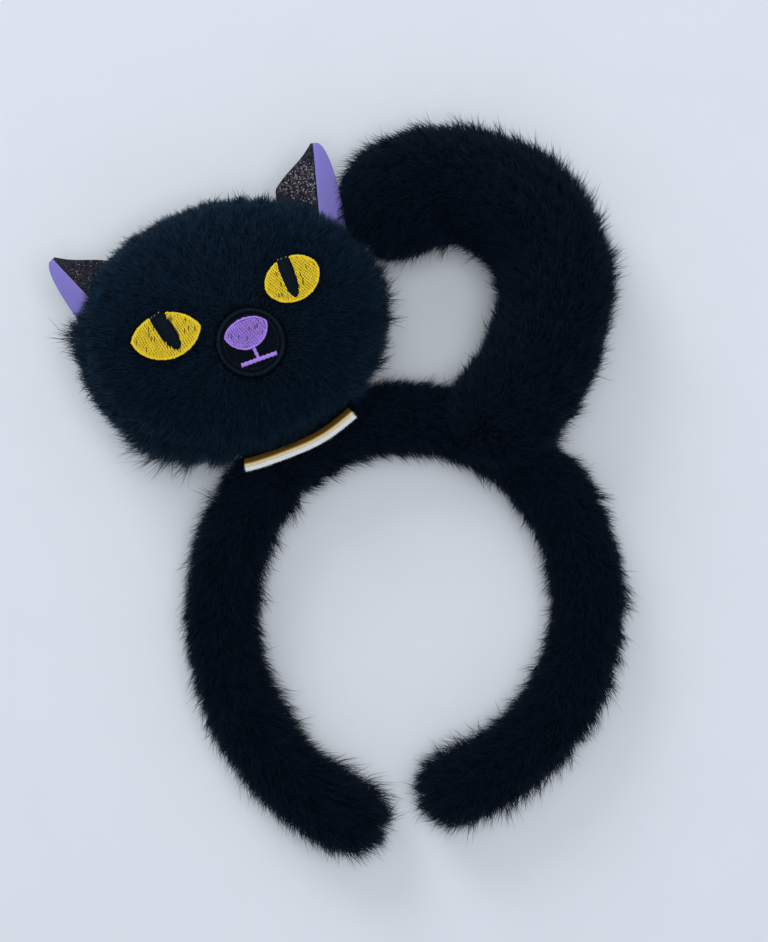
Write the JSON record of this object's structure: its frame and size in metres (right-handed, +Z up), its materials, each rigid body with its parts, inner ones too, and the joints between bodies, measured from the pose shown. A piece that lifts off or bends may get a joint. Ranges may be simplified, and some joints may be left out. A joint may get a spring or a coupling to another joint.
{
  "type": "animal ears headband",
  "caption": "Fur-covered C-shaped headband with a stuffed black cat head, folded ears, embroidered face and a stuffed hooked tail standing off the band.",
  "frame": {"origin": "centre of the head opening, on the plane that the headband lies on", "axes": "+Y towards the crown of the band, +X to the right of it as it lies face up, +Z up out of the cat's face"},
  "size_m": [0.238, 0.3022, 0.0624],
  "materials": {
    "black_faux_fur": "short dense plush pile, black with a cool blue sheen",
    "core_plastic": "moulded, hidden",
    "cap_plastic": "moulded, hidden",
    "padding_foam": "soft foam wrap, hidden",
    "polyester_stuffing": "loose fibre fill, hidden",
    "shaping_wire": "soft wire, hidden",
    "yellow_thread": "embroidered fill stitch, slight sheen",
    "black_thread": "satin stitch, slight sheen",
    "black_felt": "matte stitched felt",
    "lilac_thread": "satin stitch, slight sheen",
    "gold_leatherette": "smooth metallic-look leatherette with a cream cut edge",
    "white_felt": "fuzzy felt",
    "black_glitter_fabric": "chunky glitter on black cloth",
    "lavender_felt": "matte smooth felt"
  },
  "bodies": {
    "crown": {"crown_core_strip": "core_plastic", "crown_padding": "padding_foam", "crown_fur_sleeve": "black_faux_fur", "head_front_panel": "black_faux_fur", "head_back_panel": "black_faux_fur", "head_stuffing": "polyester_stuffing", "left_eye_patch": "yellow_thread", "right_eye_patch": "yellow_thread", "left_pupil": "black_thread", "right_pupil": "black_thread", "muzzle_patch": "black_felt", "muzzle_border": "black_thread", "nose_patch": "lilac_thread", "mouth_line": "lilac_thread", "collar_face": "gold_leatherette", "collar_backing": "white_felt", "tail_root_sleeve": "black_faux_fur", "tail_root_stuffing": "polyester_stuffing"},
    "left_arm": {"left_core_strip": "core_plastic", "left_tip_cap": "cap_plastic", "left_padding": "padding_foam", "left_fur_sleeve": "black_faux_fur"},
    "right_arm": {"right_core_strip": "core_plastic", "right_tip_cap": "cap_plastic", "right_padding": "padding_foam", "right_fur_sleeve": "black_faux_fur"},
    "tail": {"tail_sleeve": "black_faux_fur", "tail_stuffing": "polyester_stuffing", "tail_wire": "shaping_wire"},
    "left_ear": {"left_ear_shell": "black_glitter_fabric", "left_ear_lining": "lavender_felt"},
    "right_ear": {"right_ear_shell": "black_glitter_fabric", "right_ear_lining": "lavender_felt"}
  },
  "joints": [
    {"name": "left_arm_flex", "type": "hinge", "parent": "crown", "child": "left_arm", "pos_m": [-0.07189, 0.02617, 0.014], "axis": [0, 0, -1], "range_deg": [-2, 18], "stiffness_Nm_per_rad": 0.6},
    {"name": "right_arm_flex", "type": "hinge", "parent": "crown", "child": "right_arm", "pos_m": [0.07189, 0.02617, 0.014], "axis": [0, 0, 1], "range_deg": [-2, 18], "stiffness_Nm_per_rad": 0.6},
    {"name": "tail_sway", "type": "hinge", "parent": "crown", "child": "tail", "pos_m": [0.06233, 0.12671, 0.022], "axis": [0, 0, -1], "range_deg": [0, 12], "stiffness_Nm_per_rad": 0.3},
    {"name": "left_ear_flap", "type": "hinge", "parent": "crown", "child": "left_ear", "pos_m": [-0.12403, 0.12568, 0.03], "axis": [0.38, 0.925, 0], "range_deg": [-5, 12], "stiffness_Nm_per_rad": 0.02},
    {"name": "right_ear_flap", "type": "hinge", "parent": "crown", "child": "right_ear", "pos_m": [-0.04145, 0.16245, 0.03], "axis": [0.9417, -0.3366, 0], "range_deg": [-5, 6], "stiffness_Nm_per_rad": 0.02}
  ]
}
